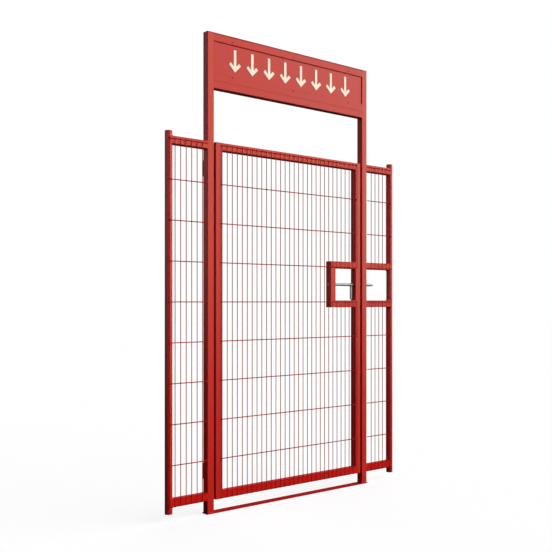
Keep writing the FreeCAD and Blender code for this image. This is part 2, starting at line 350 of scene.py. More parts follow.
# %% Red coats of the gate
TUBE_RED = (0.49, 0.0060, 0.0035)
# the lowest rails' red is a little lighter than the tubes': painted light
LOW_RAIL_LIGHTER_RED = (0.51, 0.0060, 0.0045)
# the wires' red is darker than the tubes': painted shade on the thin wires
WIRE_SHADED_RED = (0.38, 0.0045, 0.0040)
# the red of the sign, its rails and the portal cover is darker: painted shade
SIGN_SHADED_RED = (0.46, 0.0060, 0.0040)
# the sill's darker, bluer red is painted shade; its dullness is roughness
SILL_SHADED_RED = (0.42, 0.0060, 0.0080)
RIVET_RED = (0.13, 0.0040, 0.0030)
SIGN_GLOSS_TINT = (1.0, 0.76, 0.68, 1)

tube_coat = red_finish("red_tube_coat", TUBE_RED, peels=420.0, rough=0.33, gloss=0.24)
post_coat = red_finish("red_post_coat", TUBE_RED, peels=420.0, rough=0.33, gloss=0.26)
wire_coat = red_finish("red_wire_painted_shade_coat", WIRE_SHADED_RED, peels=700.0, rough=0.60, gloss=0.06)
low_coat = red_finish("scuffed_low_rail_painted_light_coat", LOW_RAIL_LIGHTER_RED, peels=420.0, rough=0.60, gloss=0.06)
sign_coat = red_finish("red_sign_painted_shade_coat", SIGN_SHADED_RED, peels=380.0, rough=0.35, gloss=0.23,
                       gloss_tint=SIGN_GLOSS_TINT)
sill_coat = red_finish("trodden_sill_painted_shade_coat", SILL_SHADED_RED, peels=300.0, rough=0.72, gloss=0.02)
rivet_coat = red_finish("dark_rivet_coat", RIVET_RED, peels=900.0, rough=0.50, gloss=0.05)
print("red coats:", sum(material.name.endswith("_coat") for material in bpy.data.materials))

# %% [markdown]
# ## Bare metal and sign enamel
# The bolt, its handle and the hinge pins are drawn steel bar with a dull zinc plating. Drawing
# leaves fine streaks along the bar, and sliding polishes it unevenly. The streaks are noise that is
# squeezed across the bar and stretched along it. Each bar lies another way, so the direction is an
# input of the shared group. The marks on the sign are cut from sheet and enamelled cream.

# %% Node group of the drawn bar
STREAKS = 900.0                  # streaks per metre across the bar
SMUDGES = 60.0                   # smudges per metre

drawn_bar, entry, leave = new_group(
    "drawn_bar", {"Place": "Vector", "Squeeze": "Vector"},
    {"Streak": "Float", "Smudge": "Float"})
squeezed = add_node(drawn_bar, "ShaderNodeVectorMath", {0: entry["Place"], 1: entry["Squeeze"]},
                    operation="MULTIPLY")
streak = add_node(drawn_bar, "ShaderNodeTexNoise",
                  {"Vector": squeezed.outputs[0], "Scale": STREAKS, "Detail": 2.0})
feed(drawn_bar, leave["Streak"], streak.outputs["Fac"])
smudge = add_node(drawn_bar, "ShaderNodeTexNoise",
                  {"Vector": entry["Place"], "Scale": SMUDGES, "Detail": 4.0})
feed(drawn_bar, leave["Smudge"], smudge.outputs["Fac"])
print("drawn_bar:", len(drawn_bar.nodes), "nodes")

# %% Zinc finishes
ZINC_DARK = (0.11, 0.115, 0.12, 1)
ZINC_LIGHT = (0.27, 0.275, 0.28, 1)
ZINC_METAL = 0.75
ZINC_ROUGH = 0.22
SMUDGE_ROUGH = 0.25              # how much the smudges add to the roughness
STREAK_SHARE = 0.5               # the streaks' part of the tone, the rest is the smudges'
STREAK_DEPTH = 0.00003           # metres
STREAK_STRENGTH = 0.3
STRETCH = 0.02                   # squeeze along the bar


def two_tone(tree, factor, dark, light, span):
    """Colour socket that goes from dark to light while the factor goes through the span."""
    ramp = add_node(tree, "ShaderNodeValToRGB", {"Fac": factor})
    for stop, position, colour in zip(ramp.color_ramp.elements, span, (dark, light)):
        stop.position = position
        stop.color = colour
    return ramp.outputs["Color"]


def zinc_finish(name, squeeze):
    """Dull zinc on drawn bar: squeeze is small along the bar and 1 across it."""
    material, tree, place, surface = new_material(name)
    grain = add_node(tree, "ShaderNodeGroup", {"Place": place, "Squeeze": squeeze},
                     node_tree=drawn_bar).outputs
    smudged = math_node(tree, "MULTIPLY", grain["Smudge"], 1 - STREAK_SHARE)
    mixed = math_node(tree, "MULTIPLY_ADD", grain["Streak"], STREAK_SHARE, smudged)
    rough = math_node(tree, "MULTIPLY_ADD", grain["Smudge"], SMUDGE_ROUGH, ZINC_ROUGH)
    bump = add_node(tree, "ShaderNodeBump", {"Height": grain["Streak"], "Strength": STREAK_STRENGTH,
                                             "Distance": STREAK_DEPTH})
    feed(tree, surface["Base Color"], two_tone(tree, mixed, ZINC_DARK, ZINC_LIGHT, NOISE_SPAN))
    feed(tree, surface["Roughness"], rough)
    feed(tree, surface["Normal"], bump.outputs["Normal"])
    feed(tree, surface["Metallic"], ZINC_METAL)
    return material


zinc_along_x = zinc_finish("zinc_bar_along_x", (STRETCH, 1.0, 1.0))
zinc_along_z = zinc_finish("zinc_bar_along_z", (1.0, 1.0, STRETCH))
print("zinc finishes:", zinc_along_x.name, zinc_along_z.name)

# %% Cream enamel
CREAM = (0.80, 0.74, 0.62, 1)
CREAM_SHADE = (0.75, 0.68, 0.56, 1)
CREAM_ROUGH = 0.3
FLOW_SCALE = 25.0                # runs of the enamel per metre
FLOW_ROUGH = 0.2                 # how much the runs add to the roughness

cream_enamel, tree, place, surface = new_material("cream_enamel")
flow = add_node(tree, "ShaderNodeTexNoise",
                {"Vector": place, "Scale": FLOW_SCALE, "Detail": 3.0}).outputs["Fac"]
feed(tree, surface["Base Color"], two_tone(tree, flow, CREAM_SHADE, CREAM, (0.0, 1.0)))
feed(tree, surface["Roughness"], math_node(tree, "MULTIPLY_ADD", flow, FLOW_ROUGH, CREAM_ROUGH))
print("finishes so far:", len(bpy.data.materials))

# %% [markdown]
# ## From rings to a mesh
# Every new piece here is a stack of closed rings of points: a tube is its section carried along a
# line, a wire is two circles, a rivet is a pile of circles of changing size. So one function can
# turn an array of rings into faces. It joins each ring to the next, and closes the two ends with
# flat faces or, for a hollow piece, joins the last ring to the first. A signed volume tells if the
# faces point inwards, and then they are turned. A finished piece is coated and handed over to the
# body that carries it, and often it stands in for one of the plain solids.

# %% Points, creases and volume
SHARP_ANGLE = math.radians(38)


def points(x, y, z):
    """Array of points from three coordinates, each a number or an array that fits the others."""
    return np.stack(np.broadcast_arrays(x, y, z), -1)


def crease(mesh):
    """Smooth shading, broken at edges that bend by more than the sharp angle."""
    mesh.shade_smooth()
    mesh.set_sharp_from_angle(angle=SHARP_ANGLE)


def volume(mesh):
    """Volume inside the faces, as the sum of the tetrahedra from the origin to each triangle."""
    mesh.calc_loop_triangles()
    corners = np.empty(len(mesh.loop_triangles) * 3, np.int32)
    mesh.loop_triangles.foreach_get("vertices", corners)
    places = np.empty(len(mesh.vertices) * 3, np.float32)
    mesh.vertices.foreach_get("co", places)
    a, b, c = places.reshape(-1, 3)[corners.reshape(-1, 3)].astype(float).transpose(1, 0, 2)
    return np.einsum("ij,ij->", a, np.cross(b, c)) / 6


print("sharp edges bend by more than %.0f degrees" % math.degrees(SHARP_ANGLE))

# %% Rings to mesh
def lay_mesh(name, rings, looped=False, corner=None):
    """Object from an array (pieces, rows, points, 3) of closed rings of points.

    Neighbouring rows are joined by four-sided faces. The ends are closed by flat faces, or the
    last row is joined to the first one if looped. corner is an optional value for each point.
    """
    index = np.arange(rings[..., 0].size).reshape(rings.shape[:-1])
    lower = index if looped else index[:, :-1]
    upper = np.roll(index, -1, axis=1) if looped else index[:, 1:]
    walls = np.stack([lower, np.roll(lower, -1, axis=2), np.roll(upper, -1, axis=2), upper], -1)
    faces = walls.reshape(-1, 4).tolist()
    if not looped:
        faces += index[:, 0, ::-1].tolist() + index[:, -1].tolist()
    mesh = bpy.data.meshes.new(name)
    mesh.from_pydata(rings.reshape(-1, 3).tolist(), [], faces)
    if volume(mesh) < 0:
        mesh.flip_normals()
    if corner is not None:
        thin = mesh.attributes.new("corner", "FLOAT", "POINT")
        thin.data.foreach_set("value", np.broadcast_to(corner, index.shape).ravel())
    crease(mesh)
    piece = bpy.data.objects.new(name, mesh)
    scene.collection.objects.link(piece)
    print(name, len(mesh.vertices), "points", len(faces), "faces")
    return piece


# %% Pieces and solids
def hand_over(piece, body, slot, finish, *stands_for):
    """Coats a new piece and lets it ride on a body, in place of the named solids if any."""
    piece.data.materials.clear()
    piece.data.materials.append(finish)
    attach(piece, body)
    if stands_for:
        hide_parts(*stands_for)
    return piece


def corners_of(node):
    """Lowest and highest corner of a solid as arrays."""
    low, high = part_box(node)
    return np.array(low), np.array(high)


def body_of(node):
    """Name of the body that a solid rides on."""
    return frame["nodes"][node]["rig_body"]


print("bodies:", sorted({body_of(node) for node in frame["nodes"]}))

# %% [markdown]
# ## Square tubes
# Frames of this kind are welded from cold-rolled square tube, 40 by 40 by 2 mm, whose corners are
# rolled round. The solids have one flat for each corner. Here the section is drawn with true arcs:
# four quarter circles, joined by flats, with a pair of points near the ends of each flat so that
# the flats stay flat when the corners are shaded smooth. A tube is four rings: outside at the
# start, outside at the end, inside at the end, inside at the start, and round again. The rails of
# the side panels are shaped to the round outer posts, so their ends are a function of the distance
# from the tube's middle, and their flats have more points to follow the round.

# %% Section of a tube
ARC_STEPS = np.linspace(0, math.pi / 2, 6)    # angles of a quarter circle
FLAT_ENDS = np.array([0.05, 0.95])            # share of the flat where its two points lie
FLAT_ROW = np.linspace(*FLAT_ENDS, 15)        # denser row, for a tube end shaped to a round post


def rounded_section(half_wide, half_high, radius, flat_shares):
    """Ring of a rounded rectangle: corner centres plus radius times (cosine, sine) of the angle.

    Each corner's arc is followed by points at the given shares of the flat to the next corner.
    """
    quarter = np.arange(4)[:, None] * math.pi / 2
    turn = quarter + ARC_STEPS
    side_x = np.sign(np.cos(quarter + math.pi / 4)) * (half_wide - radius)
    side_y = np.sign(np.sin(quarter + math.pi / 4)) * (half_high - radius)
    arcs = np.stack([side_x + radius * np.cos(turn), side_y + radius * np.sin(turn)], -1)
    begin = arcs[:, -1:]
    flats = begin + flat_shares[None, :, None] * (np.roll(arcs[:, :1], -1, axis=0) - begin)
    return np.concatenate([arcs, flats], axis=1).reshape(-1, 2)


def corner_share(flat_shares):
    """Value 1 for the points on a section's arcs and 0 for those on its flats."""
    side = np.concatenate([np.ones(len(ARC_STEPS)), np.zeros(len(flat_shares))])
    return np.tile(side, 4)


print("tube section:", 4 * (len(ARC_STEPS) + len(FLAT_ENDS)), "points")

# %% Ends of the rails
POST_SADDLE = 0.0192             # round cut in a rail's end, about the outer post's axis
RAIL_PAST = 0.003                # the front and back walls run this far past that axis
PANEL_POSTS = {"left_panel": "left_outer_post", "right_panel": "right_outer_post"}


def square_end(place):
    """Plain saw cut: the tube ends at the same place all round."""
    return lambda across: np.full_like(across, place)


def saddle_end(axis, side):
    """Shaped end: the tube stops at the post's circle, and beside it a little past the axis."""
    def stop(across):
        reach = np.sqrt(np.clip(POST_SADDLE ** 2 - across ** 2, 0, None))
        return axis - side * np.where(reach > 0, reach, -RAIL_PAST)
    return stop


def rail_ends(node):
    """Two functions that give a rail's left and right end for a distance across the tube."""
    low, high = corners_of(node)
    ends = [square_end(low[0]), square_end(high[0])]
    for panel, post in PANEL_POSTS.items():
        if node.startswith(panel):
            post_low, post_high = corners_of(post)
            axis = (post_low[0] + post_high[0]) / 2
            side = 1 if axis > 0 else -1
            ends[max(side, 0)] = saddle_end(axis, side)
    return ends


print("rails are shaped to:", list(PANEL_POSTS.values()))

# %% Tubes along X and along Z
TUBE_WALL = 0.002
TUBE_CORNER = 0.0026


def hollow_rings(node, flat_shares):
    """Outer and inner section of a tube, each used for its start and its end, as four rows."""
    low, high = corners_of(node)
    half = np.sort(high - low)[0] / 2
    rows = [rounded_section(half - inset, half - inset, TUBE_CORNER - inset, flat_shares)
            for inset in (0, 0, TUBE_WALL, TUBE_WALL)]
    return np.stack(rows), (low + high) / 2


def rail_tube(node):
    """Tube along X: section points give Y and Z, and the end functions give X."""
    flat_shares = FLAT_ROW if node.startswith(tuple(PANEL_POSTS)) else FLAT_ENDS
    rows, middle = hollow_rings(node, flat_shares)
    start, end = rail_ends(node)
    across = rows[..., 0]
    along = np.stack([start(across[0]), end(across[1]), end(across[2]), start(across[3])])
    rings = points(along, middle[1] + across, middle[2] + rows[..., 1])
    return lay_mesh(node + "_tube", rings[None], looped=True, corner=corner_share(flat_shares))


def upright_tube(node):
    """Tube along Z: section points give X and Y, and the solid's box gives the two heights."""
    rows, middle = hollow_rings(node, FLAT_ENDS)
    low, high = corners_of(node)
    heights = np.array([low[2], high[2], high[2], low[2]])[:, None]
    rings = points(middle[0] + rows[..., 0], middle[1] + rows[..., 1], heights)
    return lay_mesh(node + "_tube", rings[None], looped=True, corner=corner_share(FLAT_ENDS))


print("tubes: wall %.1f mm, corners %.1f mm" % (1000 * TUBE_WALL, 1000 * TUBE_CORNER))

# %% All square tubes
RAILS = ["portal_top_rail", "sign_lower_rail", "left_panel_top_rail", "left_panel_bottom_rail",
         "right_panel_top_rail", "right_panel_bottom_rail", "right_panel_upper_lock_rail",
         "right_panel_lower_lock_rail", "leaf_top_rail", "leaf_bottom_rail",
         "lock_box_upper_rail", "lock_box_lower_rail"]
UPRIGHTS = ["left_portal_post", "right_portal_post", "leaf_hinge_stile", "leaf_lock_stile",
            "lock_box_stile"]
tubes = {node: rail_tube(node) for node in RAILS}
tubes.update({node: upright_tube(node) for node in UPRIGHTS})
print("rails:", len(RAILS), "uprights:", len(UPRIGHTS))

# %% [markdown]
# ## Bolt holes
# Three uprights are drilled through for the bolt. A round hole in a ring-built tube would need a
# patch of its own, so here the drill is a real one: a bar of the hole's size is subtracted once,
# the result is kept as the tube's mesh, and the bar is thrown away. Then all tubes are coated. The
# rails of the sign take its finish, whose darker red is painted shade. The lowest rails are duller,
# since feet and tools scuff them, and their red is painted a little lighter as painted light.

# %% Drill
HOLE_PLAY = 0.0005
DRILL_OVERRUN = 0.1              # the drill is longer than the bolt by this much at each end
DRILL_SIDES = 48
X_AXIS, Y_AXIS, Z_AXIS = np.eye(3)


def bars(starts, ends, radius, sides, axis_a, axis_b):
    """Round bars: each end's centre plus radius times (cosine axis_a + sine axis_b)."""
    turn = np.linspace(0, 2 * math.pi, sides, endpoint=False)[:, None]
    circle = radius * (np.cos(turn) * axis_a + np.sin(turn) * axis_b)
    return np.stack([starts, ends], axis=1)[:, :, None, :] + circle


bolt_low, bolt_high = corners_of("slide_bolt")
bolt_radius = (bolt_high[2] - bolt_low[2]) / 2
bolt_axis_z = (bolt_high[2] + bolt_low[2]) / 2
drill_start = [(bolt_low[0] - DRILL_OVERRUN, 0, bolt_axis_z)]
drill_end = [(bolt_high[0] + DRILL_OVERRUN, 0, bolt_axis_z)]
drill_bar = lay_mesh("drill_bar", bars(drill_start, drill_end, bolt_radius + HOLE_PLAY,
                                       DRILL_SIDES, Y_AXIS, Z_AXIS))

# %% Drill the uprights
DRILLED = ["right_portal_post", "leaf_lock_stile", "lock_box_stile"]


def drill(piece, bar):
    """Subtracts the bar from a tube and keeps the result as the tube's own mesh."""
    cut = piece.modifiers.new("bolt_hole", "BOOLEAN")
    cut.object = bar
    cut.operation = "DIFFERENCE"
    bpy.context.view_layer.update()
    graph = bpy.context.evaluated_depsgraph_get()
    drilled = bpy.data.meshes.new_from_object(piece.evaluated_get(graph))
    piece.modifiers.remove(cut)
    piece.data = drilled
    crease(drilled)


for node in DRILLED:
    drill(tubes[node], drill_bar)
bpy.data.objects.remove(drill_bar)
print("drilled:", DRILLED)

# %% Coat the tubes
RAIL_COATS = {"portal_top_rail": sign_coat, "sign_lower_rail": sign_coat,
              "left_panel_bottom_rail": low_coat, "right_panel_bottom_rail": low_coat,
              "leaf_bottom_rail": low_coat}
for node, tube in tubes.items():
    hand_over(tube, body_of(node), "frame_paint", RAIL_COATS.get(node, tube_coat), node)
print("tubes coated:", len(tubes))

# %% [markdown]
# ## Outer posts and flat bars
# Each side panel ends in a round post of 38 mm tube with a closed top, as on fence panels. It is a
# turned shape: pairs of radius and height, carried round the axis. The pile starts under the
# closed top, goes down the bore, round the open foot and up the outside to the rounded rim. The
# sill, the cover on top of the portal and the bar at the sign's foot are flat bars with broken
# edges, two rings of a rounded rectangle each.

# %% Turned outer posts
TURN_POINTS = 64
POST_WALL = 0.002
POST_LID = 0.004
POST_RIM = 0.0028


def turned(profile, centre, count=TURN_POINTS):
    """Rings of a turned shape about Z: (radius cosine, radius sine, height) for each profile row."""
    radius, height = np.array(profile, float).T[..., None]
    turn = np.linspace(0, 2 * math.pi, count, endpoint=False)
    return points(centre[0] + radius * np.cos(turn), centre[1] + radius * np.sin(turn), height)


def outer_post(node):
    """Bore, foot and outside of a round post, with a rim that is a quarter circle."""
    low, high = corners_of(node)
    radius = (high[0] - low[0]) / 2
    bore = radius - POST_WALL
    rim = np.stack([radius - POST_RIM + POST_RIM * np.cos(ARC_STEPS),
                    high[2] - POST_RIM + POST_RIM * np.sin(ARC_STEPS)], -1)
    foot = [(bore, high[2] - POST_LID), (bore, low[2]), (radius, low[2])]
    rings = turned(np.concatenate([foot, rim]), (low + high) / 2)
    return lay_mesh(node + "_tube", rings[None])


for node in PANEL_POSTS.values():
    hand_over(outer_post(node), body_of(node), "frame_paint", post_coat, node)
print("outer posts:", list(PANEL_POSTS.values()))

# %% Flat bars
BAR_EDGES = {"sill_plate": 0.0008, "portal_cover": 0.0012, "sign_foot_bar": 0.0006}
BAR_COATS = {"sill_plate": sill_coat, "portal_cover": sign_coat, "sign_foot_bar": sign_coat}


def flat_bar(node):
    """Rounded rectangle in Y and Z, at the left and at the right end of the solid's box."""
    low, high = corners_of(node)
    middle, half = (low + high) / 2, (high - low) / 2
    section = rounded_section(half[1], half[2], BAR_EDGES[node], FLAT_ENDS)
    ends = np.array([low[0], high[0]])[:, None]
    rings = points(ends, middle[1] + section[:, 0], middle[2] + section[:, 1])
    return lay_mesh(node + "_bar", rings[None], corner=corner_share(FLAT_ENDS))


for node, coat in BAR_COATS.items():
    hand_over(flat_bar(node), "frame", "frame_paint", coat, node)
print("flat bars:", list(BAR_COATS))

# %% [markdown]
# ## Welded mesh
# The infill is welded wire: horizontal wires 200 mm apart lie against the tubes, thinner vertical
# wires lie across them, and a spark at each crossing presses them a little into each other and
# leaves a small nugget. The solids show square bars. Here every wire is round: two circles with
# flat cut ends. All wires of one field are computed at once, and so are all its nuggets.

# %% Places of the wires
LINE_PITCH = 0.200
CROSS_PITCH = 0.03225
WIRE_TRIM = 0.004                # vertical wires run this far past the outer horizontal ones
END_ROOM = 0.004                 # no vertical wire nearer to the end of a field
LEAF_FIRST_WIRE = 0.0045         # first vertical wire, onto the hinge stile
LEFT_FIRST_WIRE = 0.0348         # left portal post's side to the first vertical wire
RIGHT_FIRST_WIRE = 0.03165       # the same at the right portal post

leaf_first = corners_of("leaf_hinge_stile")[1][0] - LEAF_FIRST_WIRE
left_first = corners_of("left_portal_post")[0][0] - LEFT_FIRST_WIRE
right_first = corners_of("right_portal_post")[1][0] + RIGHT_FIRST_WIRE
FIELDS = {"leaf_main_mesh": leaf_first, "leaf_upper_mesh": leaf_first,
          "leaf_lower_mesh": leaf_first, "left_panel_mesh": left_first,
          "right_panel_upper_mesh": right_first, "right_panel_lower_mesh": right_first}


def wire_places(node):
    """Heights of the horizontal wires and X places of the vertical ones, in a field's box.

    Both are even rows, of which the wires that fall into the box are kept.
    """
    low, high = corners_of(node)
    heights = np.arange(low[2] + WIRE_TRIM, high[2], LINE_PITCH)
    first = math.ceil((low[0] + END_ROOM - FIELDS[node]) / CROSS_PITCH)
    last = math.floor((high[0] - END_ROOM - FIELDS[node]) / CROSS_PITCH)
    return heights, FIELDS[node] + CROSS_PITCH * np.arange(first, last + 1)


for node in FIELDS:
    print(node, "wires:", [len(places) for places in wire_places(node)])

# %% Crossings and the lumps on them
NUGGET_HALF = np.array([0.0029, 0.0016, 0.0031])
NUGGET_TURN = np.linspace(0, 2 * math.pi, 8, endpoint=False)
NUGGET_TILT = np.radians([-72, -38, 0, 38, 72])


def lumps(centres, half):
    """Ellipsoids: half sizes times (cos tilt cos turn, cos tilt sin turn, sin tilt)."""
    tilt, turn = np.meshgrid(NUGGET_TILT, NUGGET_TURN, indexing="ij")
    unit = points(np.cos(tilt) * np.cos(turn), np.cos(tilt) * np.sin(turn), np.sin(tilt))
    return centres[:, None, None, :] + half * unit


def crossings(places, depth, heights):
    """All points with an X of places and a Z of heights, at one depth."""
    x, z = np.meshgrid(places, heights)
    return points(x.ravel(), depth, z.ravel())


print("nugget:", len(NUGGET_TURN) * len(NUGGET_TILT), "points")

# %% Wires and nuggets
LINE_RADIUS = 0.0025
CROSS_RADIUS = 0.002
WELD_SINK = 0.0005               # how deep the wires are pressed into each other
LINE_SIDES = 14
CROSS_SIDES = 12


def mesh_field(node):
    """Horizontal wires, vertical wires and nuggets of one field as three array stacks."""
    low, high = corners_of(node)
    heights, places = wire_places(node)
    line_depth = high[1] - LINE_RADIUS
    weld_depth = high[1] - 2 * LINE_RADIUS
    cross_depth = weld_depth - CROSS_RADIUS + WELD_SINK
    lines = bars(crossings([low[0]], line_depth, heights),
                 crossings([high[0]], line_depth, heights),
                 LINE_RADIUS, LINE_SIDES, Y_AXIS, Z_AXIS)
    crosses = bars(crossings(places, cross_depth, [low[2]]),
                   crossings(places, cross_depth, [high[2]]),
                   CROSS_RADIUS, CROSS_SIDES, X_AXIS, Y_AXIS)
    nuggets = lumps(crossings(places, weld_depth, heights), NUGGET_HALF)
    return lines, crosses, nuggets


def hang_wires(name, rings, body, *stands_for):
    """Coated piece of the mesh. It casts no shadow: soft light flows round things this thin."""
    piece = hand_over(lay_mesh(name, rings), body, "mesh_paint", wire_coat, *stands_for)
    piece.visible_shadow = False


for node in FIELDS:
    lines, crosses, nuggets = mesh_field(node)
    stem = node.replace("_mesh", "")
    hang_wires(stem + "_line_wires", lines, body_of(node), node)
    hang_wires(stem + "_cross_wires", crosses, body_of(node))
    hang_wires(stem + "_nuggets", nuggets, body_of(node))
    print(stem, "nuggets:", len(nuggets))

# %% [markdown]
# ## Weld beads
# Each rail is welded to its uprights. In the inner corners and on the back the bead stays: a round
# fillet with a ripple for each drop of metal. A bead is a quarter circle of points between two
# directions, carried along the seam. Its size swells and shrinks with a cosine of the distance
# along the seam and fades out at both ends. On the front the weld fills the groove beside the
# upright's round corner and is ground flush, so there it is a plain wedge. So is the seam under
# the bar at the sign's foot. Dabs of weld hold the mesh on its tubes.

# %% Bead along a seam
BEAD_LEG = 0.0042
BEAD_ROWS = 48
BEAD_RIPPLE = 0.0031
BEAD_SWELL = 0.09
BEAD_TAPER = 0.10                # share of the seam over which a bead fades out
BEAD_LEAST = 0.08                # least value under the root, so that no end shrinks to a point
BEAD_ROOT = 0.15                 # a bead's root lies this share of its legs inside the corner
BEAD_POINTS = 7
BEAD_SHARES = np.linspace(0, 1, BEAD_ROWS)


def bead(path, leg_a, leg_b, span=math.pi / 2):
    """Rows of a bead: root, then path plus size times (cosine leg_a + sine leg_b).

    The size is 1 plus a share of the cosine of the distance along the path. Towards both ends it
    is multiplied by the root of the distance left, as a share of the taper. A path is turned round
    where needed, so that all beads have their faces outside.
    """
    direction = path[-1] - path[0]
    if np.dot(np.cross(leg_a, leg_b), direction) < 0:
        path = path[::-1]
    run = BEAD_SHARES * np.linalg.norm(direction)
    swell = 1 + BEAD_SWELL * np.cos(2 * math.pi * run / BEAD_RIPPLE)
    to_end = np.minimum(BEAD_SHARES, 1 - BEAD_SHARES)
    fade = np.sqrt(np.clip(to_end / BEAD_TAPER, BEAD_LEAST, 1))
    turn = np.linspace(0, span, BEAD_POINTS)[:, None]
    arc = np.cos(turn) * leg_a + np.sin(turn) * leg_b
    ring = np.concatenate([[-BEAD_ROOT * (leg_a + leg_b)], arc])
    return path[:, None, :] + (swell * fade)[:, None, None] * ring


def straight_seam(start, end):
    """Path of a bead from one point to another: start plus shares of the way to the end."""
    return start + BEAD_SHARES[:, None] * (end - start)


print("bead: %d rows, ripple of %.1f mm" % (BEAD_ROWS, 1000 * BEAD_RIPPLE))

# %% Beads of the rails
BEAD_REACH = 0.0155              # beads run this far to each side of a tube's middle
SEAM_FLAT = 0.22                 # height of the flat bead on the back, as a share of its width
UPRIGHT_PAST = 0.005             # an upright that ends nearer than this has no corner there
SIDE_PLAY = 0.005                # a rail's end lies no farther than this from its upright


def upright_beside(x, z):
    """Lowest and highest corner of the upright that a rail meets at x, at the height z."""
    boxes = [corners_of(node) for node in UPRIGHTS + list(PANEL_POSTS.values())]
    return next((low, high) for low, high in boxes
                if low[0] - SIDE_PLAY < x < high[0] + SIDE_PLAY and low[2] < z < high[2])


def rail_beads(node):
    """Beads in the upper and lower corner at both ends of a rail, and on the back seam."""
    low, high = corners_of(node)
    across = (2 * BEAD_SHARES - 1) * BEAD_REACH
    made = []
    for stop, inward in zip(rail_ends(node), (1, -1)):
        place = stop(across)
        post_low, post_high = upright_beside(place[0], (low[2] + high[2]) / 2)
        along = inward * BEAD_LEG * X_AXIS
        above, below = post_high[2] - high[2], low[2] - post_low[2]
        for height, up, room in ((high[2], 1, above), (low[2], -1, below)):
            if room > UPRIGHT_PAST:
                made.append(bead(points(place, across, height), along, up * BEAD_LEG * Z_AXIS))
        if np.ptp(place) == 0:
            foot = np.array([place[0], high[1], low[2] + TUBE_CORNER])
            head = np.array([place[0], high[1], high[2] - TUBE_CORNER])
            out = SEAM_FLAT * BEAD_LEG * Y_AXIS
            made.append(bead(straight_seam(foot, head), along, out, math.pi))
    return made


beads = {"frame": [], "leaf": []}
for node in RAILS:
    beads[body_of(node)] += rail_beads(node)
print("rail beads:", {body: len(made) for body, made in beads.items()})

# %% Wedge of a ground seam
WEDGE = np.array([(0, 0), (1, 0), (1 / 3, 1 / 3), (0, 1)])


def ground_seam(start, end, aside):
    """Wedge that fills a groove: the seam's ends plus WEDGE's shares of the ways aside and back.

    Both ways are as long as a tube's corner. The seam is turned round as a bead's path is.
    """
    seam = np.array([start, end])
    if np.dot(np.cross(aside, Y_AXIS), seam[1] - seam[0]) < 0:
        seam = seam[::-1]
    ring = TUBE_CORNER * (WEDGE[:, :1] * aside + WEDGE[:, 1:] * Y_AXIS)
    return seam[:, None, :] + ring


print("wedge: %.1f mm wide" % (1000 * TUBE_CORNER))

# %% Ground seams
SEAM_SHY = 0.00008               # ground seams lie this far behind the tubes' fronts


def rail_seams(node):
    """Ground seams on the front, at the ends of a rail that meet an upright's flat side."""
    low, high = corners_of(node)
    skin, foot, head = low[1] + SEAM_SHY, low[2] + SEAM_SHY, high[2] - SEAM_SHY
    across = np.array([-BEAD_REACH, 0.0])
    stops = [(stop(across), inward) for stop, inward in zip(rail_ends(node), (1, -1))]
    return [ground_seam((place[0], skin, foot), (place[0], skin, head), -inward * X_AXIS)
            for place, inward in stops if np.ptp(place) == 0]


def bar_seam(node):
    """Ground seam under a flat bar, down over the round corner of the rail that carries it."""
    (left, front, foot), (right, _, _) = corners_of(node)
    skin = front + SEAM_SHY
    return ground_seam((left, skin, foot), (right, skin, foot), -Z_AXIS)


seams = {"frame": [], "leaf": []}
for node in RAILS:
    seams[body_of(node)] += rail_seams(node)
seams["frame"] += rail_seams("sign_foot_bar") + [bar_seam("sign_foot_bar")]
for body, made in seams.items():
    hand_over(lay_mesh(body + "_ground_seams", np.stack(made)), body, "frame_paint", tube_coat)
    print(body, "ground seams:", len(made))

# %% Beads of posts and hinges
FOOT_LEG = 0.0026
FLAP_LEG = 0.0038
FLAPS = ["upper_hinge_fixed_flap", "lower_hinge_fixed_flap", "upper_hinge_moving_flap",
         "lower_hinge_moving_flap"]


def bead_across(tube, depth, height, leg_a, leg_b):
    """Bead from left to right over the flat of an upright tube."""
    low, high = corners_of(tube)
    start = np.array([low[0] + TUBE_CORNER, depth, height])
    end = np.array([high[0] - TUBE_CORNER, depth, height])
    return bead(straight_seam(start, end), leg_a, leg_b)


def foot_beads(post):
    """Beads in front of and behind a portal post's foot, on the sill."""
    low, high = corners_of(post)
    return [bead_across(post, depth, low[2], FOOT_LEG * Z_AXIS, out * FOOT_LEG * Y_AXIS)
            for depth, out in ((low[1], -1), (high[1], 1))]


def flap_beads(flap):
    """Beads over and under a hinge flap, on the back of the tube that carries it."""
    low, high = corners_of(flap)
    tube = "left_portal_post" if "fixed" in flap else "leaf_hinge_stile"
    back = corners_of(tube)[1][1]
    return [bead_across(tube, back, height, up * FLAP_LEG * Z_AXIS, FLAP_LEG * Y_AXIS)
            for height, up in ((high[2], 1), (low[2], -1))]


for node in ("left_portal_post", "right_portal_post"):
    beads["frame"] += foot_beads(node)
for node in FLAPS:
    beads[body_of(node)] += flap_beads(node)
for body, made in beads.items():
    hand_over(lay_mesh(body + "_weld_beads", np.stack(made)), body, "frame_paint", tube_coat)
    print(body, "beads:", len(made))

# %% Weld dabs that hold the mesh
DAB_HALF = np.array([0.0052, 0.0019, 0.0037])
DAB_ON_UPRIGHT = 0.006           # end of a horizontal wire to its dab
DAB_EVERY = 4                    # vertical wires from one dab on a rail to the next


def mesh_dabs(node):
    """Centres of the dabs, on the uprights and on the rails.

    Each horizontal wire has one on its upright. The first and the last have one more for every
    four vertical wires, halfway between two of them.
    """
    low, high = corners_of(node)
    heights, places = wire_places(node)
    at_left = {"leaf_main_mesh": low[0] + DAB_ON_UPRIGHT,
               "left_panel_mesh": low[0] + 2 * DAB_ON_UPRIGHT}
    end = at_left.get(node, high[0] - DAB_ON_UPRIGHT)
    halfway = (places[:-1] + places[1:]) / 2
    return np.concatenate([crossings([end], high[1], heights),
                           crossings(halfway[::DAB_EVERY], high[1], heights[[0, -1]])])


for body in beads:
    centres = np.concatenate([mesh_dabs(node) for node in FIELDS if body_of(node) == body])
    hang_wires(body + "_weld_dabs", lumps(centres, DAB_HALF), body)
    print(body, "dabs:", len(centres))

